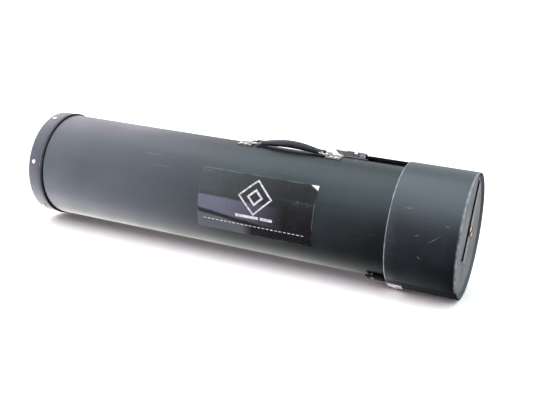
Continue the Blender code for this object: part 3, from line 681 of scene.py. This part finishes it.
def make_label(mats):
    """Film on the tube with a generic print: a diamond outline, a plain bar and a dashed line."""
    x_range = (LABEL_LOW.x, LABEL_HIGH.x)
    piece("label_skin", wrapped_patch(x_range, (TUBE_R + 0.00025, LABEL_R), LABEL_DEG, 48, 24), mats["film"],
          "tube", ["label_film"])
    centre = (0.0615, 15.0)
    ink_r = (LABEL_R + 0.00002, LABEL_R + 0.0001)
    for name, reach, stroke in (("print_diamond", 0.033, 0.0042), ("print_diamond_inner", 0.0155, 0.0050)):
        bm = bmesh.new()
        for quarter in range(4):
            merge(bm, diamond_side(centre, reach, stroke, quarter, ink_r))
        piece(name, bm, mats["ink"], "tube", smooth=False)
    bar = wrapped_patch((0.027, 0.071), ink_r, (-7.4, -4.4), 4, 2)
    merge(bar, wrapped_patch((0.075, 0.098), ink_r, (-7.4, -4.4), 4, 2))
    piece("print_bar", bar, mats["ink"], "tube", smooth=False)
    dashes = bmesh.new()
    start = LABEL_LOW.x + 0.012
    for index in range(24):
        x = start + index * 0.0082
        merge(dashes, wrapped_patch((x, x + 0.0052), ink_r, (-16.1, -15.2), 2, 1))
    piece("print_dashes", dashes, mats["ink"], "tube", smooth=False)


def diamond_side(centre, reach, stroke, quarter, r_range):
    """One mitred side of a diamond outline wrapped on the tube."""
    sign_x = 1 if quarter in (0, 3) else -1
    sign_y = 1 if quarter in (0, 1) else -1
    columns = 12
    per_degree = math.radians(1.0) * LABEL_R

    def section(t):
        x = reach * t
        outer = reach - x
        inner = max(reach - stroke - x, 0.0)
        low, high = centre[1] + sign_y * inner / per_degree, centre[1] + sign_y * outer / per_degree
        return centre[0] + sign_x * x, (min(low, high), max(low, high) + 1e-4)

    return wrapped_outline(section, columns, 3, r_range)


# ---------------------------------------------------------------- strap
STRAP_LOW, STRAP_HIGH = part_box("lid_strap")
STRAP_HALF = 0.014
STRAP_THICK = 0.0020
STRAP_R = 0.1055
STRAP_IN_X = 0.4150
STRAP_FACE_X = 0.4215
SLOT_TOP_R = 0.0965
SLOT_LOW_R = -0.0475


def arc(centre, radius, start, end, steps):
    angles = [math.radians(start + (end - start) * step / steps) for step in range(steps + 1)]
    return [Vector((centre[0] + radius * math.cos(a), centre[1] + radius * math.sin(a))) for a in angles]


def dense(path, step):
    """Extra points along the straight stretches."""
    points = [path[0]]
    for here, after in zip(path, path[1:]):
        parts = max(1, int((after - here).length / step))
        points += [here.lerp(after, k / parts) for k in range(1, parts + 1)]
    return points


def lid_strap_path():
    """Centre line in (x, r): along the tube, out through the top slot, down the face, in and back."""
    bend, turn = 0.0025, 0.003
    path = [Vector((STRAP_LOW.x, STRAP_R))]
    path += arc((STRAP_IN_X - turn, STRAP_R - turn), turn, 90, 0, 6)
    path += arc((STRAP_IN_X + bend, SLOT_TOP_R + bend), bend, 180, 270, 6)
    path += arc((STRAP_FACE_X - bend, SLOT_TOP_R - bend), bend, 90, 0, 6)
    path += arc((STRAP_FACE_X - bend, SLOT_LOW_R + bend), bend, 0, -90, 6)
    path += arc((STRAP_IN_X + bend, SLOT_LOW_R - bend), bend, 90, 180, 6)
    path += arc((STRAP_IN_X - turn, -STRAP_R + turn), turn, 0, -90, 6)
    path += [Vector((0.3722, -STRAP_R))]
    return dense(path, 0.004)


def ribbon(path, half, thick, wave=0.0):
    """Strap with rounded selvedges and raised cords, and weave coordinates for its material."""
    bm = bmesh.new()
    layer = bm.loops.layers.uv.new("weave")
    columns = 24
    rows = []
    travelled = 0.0
    lengths = []
    for index, spot in enumerate(path):
        if index:
            travelled += (spot - path[index - 1]).length
        lengths.append(travelled)
        before, after = path[max(index - 1, 0)], path[min(index + 1, len(path) - 1)]
        direction = (after - before).normalized()
        side = Vector((-direction.y, direction.x))
        row = []
        for face in (1, -1):
            order = range(columns + 1) if face == 1 else range(columns, -1, -1)
            for step in order:
                across = -half + 2 * half * step / columns
                edge = 1.0 - abs(across) / half
                rise = thick / 2 * min(1.0, 0.55 + edge * 6.0)
                rise *= 0.93 + 0.07 * math.cos(math.tau * step / 4)
                rise += wave * math.sin(travelled * 60.0 + across * 90.0)
                offset = side * (rise * face)
                row.append((bm.verts.new((spot.x + offset.x, across, spot.y + offset.y)), across, travelled))
        rows.append(row)
    count = len(rows[0])
    for first, second in zip(rows, rows[1:]):
        for step in range(count):
            following = (step + 1) % count
            corners = (first[step], first[following], second[following], second[step])
            face = bm.faces.new([corner[0] for corner in corners])
            for loop, corner in zip(face.loops, corners):
                loop[layer].uv = (corner[2], corner[1])
    for row in (rows[0], rows[-1]):
        for step in range(columns):
            mate = count - 1 - step
            corners = (row[step], row[step + 1], row[mate - 1], row[mate])
            face = bm.faces.new([corner[0] for corner in corners])
            for loop, corner in zip(face.loops, corners):
                loop[layer].uv = (corner[2], corner[1])
    return bm


def stitch_row(points, length, gap, radius, normal):
    """Separate stitches laid along a line of points, dipping at their ends."""
    bm = bmesh.new()
    start, end = points
    total = (end - start).length
    direction = (end - start).normalized()
    count = int(total / (length + gap))
    for index in range(count):
        origin = start + direction * (index * (length + gap))
        path = []
        for step in range(7):
            t = step / 6
            rise = radius * 1.1 * math.sin(math.pi * t) - radius * 0.4
            path.append(origin + direction * (length * t) + normal * rise)
        merge(bm, tube_line(path, radius, 6))
    return bm


def make_straps(mats):
    matrix = frame_at(STRAP_DEG)
    piece("strap_over_lid", ribbon(lid_strap_path(), STRAP_HALF, STRAP_THICK), mats["webbing"], "lid",
          ["lid_strap"], matrix, sharp=60)
    layer = dense([Vector((0.2195, STRAP_R + 0.0019)), Vector((0.2225, STRAP_R + 0.0029)),
                   Vector((0.2975, STRAP_R + 0.0029)), Vector((0.3010, STRAP_R + 0.0019))], 0.004)
    piece("strap_folded_end", ribbon(layer, STRAP_HALF, STRAP_THICK), mats["webbing"], "lid",
          matrix=matrix, sharp=60)
    low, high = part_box("anchor_strap")
    base = TUBE_R + 0.0016
    path = dense([Vector((low.x + 0.001, base + 0.0011)), Vector((high.x, base + 0.0002))], 0.004)
    folded = ribbon(path, STRAP_HALF, STRAP_THICK)
    top_path = dense([Vector((low.x, base + 0.0010)), Vector((low.x + 0.001, base + 0.0029)),
                      Vector((0.2965, base + 0.0027))], 0.003)
    merge(folded, ribbon(top_path, STRAP_HALF, STRAP_THICK * 0.85))
    piece("strap_anchor_fold", folded, mats["webbing"], "tube", ["anchor_strap"],
          frame_at(STRAP_DEG - 180.0), sharp=60)
    under = frame_at(STRAP_DEG - 180.0)
    threads = bmesh.new()
    height = base + 0.0029 + STRAP_THICK / 2
    for across in (-0.0105, 0.0105):
        merge(threads, stitch_row((Vector((0.2665, across, height)), Vector((0.294, across, height))),
                                  0.0028, 0.0009, 0.00032, Vector((0, 0, 1))))
    for x in (0.2665, 0.2935):
        merge(threads, stitch_row((Vector((x, -0.0105, height)), Vector((x, 0.0105, height))),
                                  0.0026, 0.0009, 0.00032, Vector((0, 0, 1))))
    piece("anchor_stitching", threads, mats["thread"], "tube", matrix=under)
    start = bmesh.new()
    surface = STRAP_R + 0.0029 + STRAP_THICK / 2
    for x in (0.2265, 0.2315, 0.2935):
        merge(start, stitch_row((Vector((x, -0.011, surface)), Vector((x, 0.011, surface))),
                                0.0026, 0.0009, 0.00030, Vector((0, 0, 1))))
    piece("strap_stitching", start, mats["thread"], "lid", matrix=matrix)


# ---------------------------------------------------------------- hardware
def soften(item, width, angle=30.0):
    modifier = item.modifiers.new("soft_edges", "BEVEL")
    modifier.width = width
    modifier.segments = 3
    modifier.limit_method = "ANGLE"
    modifier.angle_limit = math.radians(angle)


def refine(node, mat, bevel=0.0, levels=0, angle=30.0):
    """Keep a CAD node's shape, round its edges and give it a finished material."""
    item = NODES[node]
    item.data.materials.clear()
    item.data.materials.append(mat)
    if bevel:
        soften(item, bevel, angle)
    if levels:
        modifier = item.modifiers.new("smooth", "SUBSURF")
        modifier.levels = levels
        modifier.render_levels = levels
    return item


def make_hardware(mats):
    for node in sorted(NODES):
        if "_rivet" in node:
            make_rivet(node, mats)
    make_rosette(mats)
    for word in ("left", "right"):
        refine("handle_bracket_" + word, mats["plate"], bevel=0.0004)
        refine("handle_backing_" + word, mats["steel"], bevel=0.0003)
        refine("grip_ferrule_" + word, mats["leather"], bevel=0.0003, angle=40.0)
        refine("handle_ring_" + word, mats["nickel"], levels=2)
    # the edge guard's pale colour is a painted reflection
    refine("lid_edge_guard", mats["metal_painted_reflection"], bevel=0.0003)
    refine("lid_end_disc", mats["disc"], bevel=0.0005)
    refine("buckle_base", mats["steel"], bevel=0.0003)
    refine("buckle_frame", mats["lever"], bevel=0.0004)
    refine("buckle_pin", mats["nickel"], bevel=0.0002)
    refine("buckle_lever", mats["lever"], bevel=0.0004, angle=25.0)
    keeper = bmesh.new()
    outline = [(-0.0164, 0.1026), (-0.0164, 0.1108), (-0.0150, 0.1123), (0.0150, 0.1123), (0.0164, 0.1108),
               (0.0164, 0.1026), (0.0157, 0.1026), (0.0157, 0.1104), (0.0147, 0.1115), (-0.0147, 0.1115),
               (-0.0157, 0.1104), (-0.0157, 0.1026)]
    rows = [[keeper.verts.new((x, y, z)) for y, z in outline] for x in (0.2052, 0.2164)]
    join_rows(keeper, *rows)
    for row in rows:
        for index in range(5):
            keeper.faces.new((row[index], row[index + 1], row[10 - index], row[11 - index]))
    band = piece("strap_keeper", keeper, mats["steel"], "tube", matrix=frame_at(STRAP_DEG), smooth=False)
    soften(band, 0.0002)
    cap = bmesh.new()
    bmesh.ops.create_uvsphere(cap, u_segments=24, v_segments=12, radius=0.0024)
    bmesh.ops.scale(cap, vec=(1.0, 0.45, 1.0), verts=cap.verts)
    bmesh.ops.translate(cap, vec=(0.1985, -0.0160, 0.1092), verts=cap.verts)
    piece("pin_cap", cap, mats["nickel"], "tube", matrix=frame_at(STRAP_DEG))
    ridges = bmesh.new()
    for index in range(5):
        x = 0.1595 + index * 0.0022
        height = 0.1098 + 0.0027
        path = [Vector((x, -0.0105 + 0.021 * k / 8, height)) for k in range(9)]
        merge(ridges, tube_line(path, 0.0005, 8))
    piece("lever_ridges", ridges, mats["lever"], "lever", matrix=frame_at(STRAP_DEG))


def make_rosette(mats):
    """Cupped washer with a rolled rim and a dished middle."""
    low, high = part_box("strap_rosette")
    centre = (low + high) / 2
    rim = (high.y - low.y) / 2
    floor = low.x
    profile = [(floor, 0.0024), (floor, rim - 0.0004), (floor + 0.0003, rim)]
    for step in range(9):
        angle = math.radians(-20.0 + 220.0 * step / 8)
        profile.append((floor + 0.0010 + 0.0011 * math.sin(angle), rim - 0.0012 + 0.0012 * math.cos(angle)))
    profile += [(floor + 0.0009, rim - 0.0032), (floor + 0.0006, rim - 0.0050), (floor + 0.0008, 0.0024)]
    bm = bmesh.new()
    rows = [[bm.verts.new((x, centre.y + radius * math.cos(math.tau * k / 48),
                           centre.z + radius * math.sin(math.tau * k / 48))) for k in range(48)]
            for x, radius in profile]
    for first, second in zip(rows, rows[1:] + rows[:1]):
        join_rows(bm, first, second)
    piece("rosette_cup", bm, mats["brass"], "lid", ["strap_rosette"])


RIVET_SLOTS = {"base": "tube", "handle": "tube", "anchor": "tube", "buckle": "tube",
               "guard": "lid", "strap": "lid"}


def rivet_axis(node, low, high):
    """Centre and outward direction of a rivet, from its box and its family."""
    centre = (low + high) / 2
    family = node.split("_")[0]
    if family == "strap":
        return centre, Vector((1.0, 0.0, 0.0))
    if family in ("base", "guard"):
        return centre, Vector((0.0, centre.y, centre.z - AXIS_Z)).normalized()
    degrees = {"handle": 90.0, "buckle": STRAP_DEG, "anchor": STRAP_DEG - 180.0}[family]
    return centre, frame_at(degrees).to_3x3() @ Vector((0.0, 0.0, 1.0))


def make_rivet(node, mats):
    """Smooth domed head with a struck rim, on its shank."""
    low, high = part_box(node)
    centre, outward = rivet_axis(node, low, high)
    points = [vertex.co - centre for vertex in NODES[node].data.vertices]
    along = [point.dot(outward) for point in points]
    top, bottom = max(along), min(along)
    reach = max((point - outward * point.dot(outward)).length for point in points)
    side = outward.orthogonal().normalized()
    across = outward.cross(side)
    rise = min(0.0013, reach * 0.36)
    shank = reach * 0.42
    profile = [(top, 0.0)]
    for step in range(1, 9):
        angle = math.radians(90.0 * step / 8)
        profile.append((top - rise * (1 - math.cos(angle)), reach * 0.99 * math.sin(angle)))
    profile += [(top - rise - 0.0001, reach * 0.97), (top - rise - 0.0001, shank), (bottom + 0.0009, shank),
                (bottom + 0.0008, shank * 1.5), (bottom, shank * 1.4), (bottom, 0.0)]
    bm = bmesh.new()
    sides = 32
    rows = []
    for height, radius in profile:
        base = centre + outward * height
        if radius == 0.0:
            rows.append([bm.verts.new(base)])
        else:
            rows.append([bm.verts.new(base + (side * math.cos(math.tau * k / sides)
                                              + across * math.sin(math.tau * k / sides)) * radius)
                         for k in range(sides)])
    for first, second in zip(rows, rows[1:]):
        join_rows(bm, first, second)
    # anchor, guard and base rivets take the pale plate whose light colour is a painted reflection
    metal = mats["metal_painted_reflection"] if node.split("_")[0] in ("anchor", "guard", "base") else mats["nickel"]
    piece(node + "_head", bm, metal, RIVET_SLOTS[node.split("_")[0]], [node])


# ---------------------------------------------------------------- grip
def grip_section(x):
    """Height, half width and half thickness of the arched grip at a distance from its middle."""
    share = abs(x) / 0.0575
    bulge = (1 - share * share) ** 1.5
    return AXIS_Z + 0.10486 + 0.0053 * bulge, 0.0078 + 0.0031 * bulge, 0.0040 + 0.0026 * (1 - share * share)


def make_grip(mats):
    """Stitched leather grip, arched, fuller in the middle, with a welt along each side."""
    low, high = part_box("grip_cover")
    middle = (low.x + high.x) / 2
    half = (high.x - low.x) / 2
    sides, stations = 40, 48
    bm = bmesh.new()
    rows = []
    for station in range(stations + 1):
        x = -half + 2 * half * station / stations
        height, wide, thick = grip_section(x)
        row = []
        for step in range(sides):
            angle = math.tau * step / sides
            c, s = math.cos(angle), math.sin(angle)
            welt = 0.00035 * math.exp(-(s / 0.16) ** 2)
            crease = 0.00010 * math.sin(x * 900.0 + 3 * s)
            y = (wide + welt - 0.0002) * math.copysign(abs(c) ** 0.8, c)
            z = (thick - crease) * math.copysign(abs(s) ** 0.8, s)
            row.append(bm.verts.new((middle + x, y, height + z)))
        rows.append(row)
    for first, second in zip(rows, rows[1:]):
        join_rows(bm, first, second)
    bm.faces.new(rows[0])
    bm.faces.new(rows[-1])
    piece("grip_leather", bm, mats["leather"], "grip", ["grip_cover"], sharp=50)
    stitches = bmesh.new()
    pitch = 0.0042
    count = int(2 * half / pitch) - 1
    for side in (-1, 1):
        for index in range(count):
            x0 = -half + 0.003 + index * pitch
            path = []
            for step in range(5):
                x = x0 + 0.0030 * step / 4
                height, wide, thick = grip_section(x)
                angle = math.radians(33.0)
                y = side * (wide * math.cos(angle) ** 0.8)
                z = height + thick * math.sin(angle) ** 0.8
                path.append(Vector((middle + x, y, z + 0.00012 * math.sin(math.pi * step / 4))))
            merge(stitches, tube_line(path, 0.00028, 6))
    piece("grip_stitching", stitches, mats["thread"], "grip")


LID_MARKS = [(0.3555, 8.0, 0.010, 0.25), (0.3840, 7.0, 0.020, 0.75), (0.3625, -11.0, 0.011, -0.55),
             (0.3350, 30.0, 0.016, 0.08), (0.4020, 20.0, 0.009, -0.2)]


def make_materials():
    dark, light = rgb(0.0022, 0.0028, 0.0032), rgb(0.0042, 0.0050, 0.0056)
    green, blue = rgb(0.76, 1.0, 1.02), rgb(0.84, 1.0, 1.08)
    cup_edges = [(CUP_LOW.x + 0.0008, 0.0022), (CUP_HIGH.x, 0.0010)]
    # the lid's end rim band is partly rubbed wear and partly a painted highlight on its rounded edge
    lid_edges = [(LID_LOW.x, 0.0024), (LID_HIGH.x, 0.0044)]
    return {
        "tube": fibre("tube_fibre", dark, light, [(TUBE_HIGH.x, 0.002)], 0.31, 0.06, green),
        "cup": fibre("cup_fibre", dark, light, cup_edges, 0.34, 0.10, blue),
        "lid": fibre("lid_fibre", rgb(0.0030, 0.0036, 0.0042), rgb(0.0060, 0.0070, 0.0080), lid_edges,
                     # the lid gets painted shade along its underside below -44 degrees
                     0.32, 0.60, blue, LID_MARKS, painted_shade_below=-44.0,
                     # the lid's inner wall around the end disc gets painted light
                     inner_radius=LID_R - WALL),
        "disc": disc_board("end_board"),
        "rubber": rubber("bead_rubber", rgb(0.010, 0.010, 0.011)),
        "foam": foam("grey_foam"),
        "nickel": plated("worn_nickel", rgb(0.80, 0.78, 0.74), rgb(0.42, 0.39, 0.34)),
        "brass": plated("worn_brass", rgb(0.78, 0.68, 0.54), rgb(0.30, 0.19, 0.12), rough=0.28,
                        tarnish=0.7, metal=0.8),
        "steel": plated("grey_steel", rgb(0.15, 0.145, 0.175), rgb(0.08, 0.08, 0.10), rough=0.38),
        "plate": plated("olive_plate", rgb(0.46, 0.46, 0.42), rgb(0.25, 0.25, 0.22), rough=0.36),
        # pale, mostly diffuse plate: its light colour is a painted reflection of the bright floor on the guard
        # and rivets
        "metal_painted_reflection": plated("pale_metal_painted_reflection", rgb(0.82, 0.81, 0.78), rgb(0.55, 0.54, 0.50), rough=0.42, metal=0.25),
        "lever": plated("dark_lever", rgb(0.075, 0.08, 0.085), rgb(0.03, 0.03, 0.03), rough=0.38),
        "webbing": webbing("black_webbing"),
        "leather": leather("grip_leather_skin"),
        "thread": thread("black_thread", rgb(0.03, 0.03, 0.032)),
        "film": label_film("label_film_skin"),
        "ink": ink("label_ink"),
    }


place_camera()
place_studio()
MATS = make_materials()
make_shells(MATS)
make_label(MATS)
make_straps(MATS)
make_hardware(MATS)
make_grip(MATS)
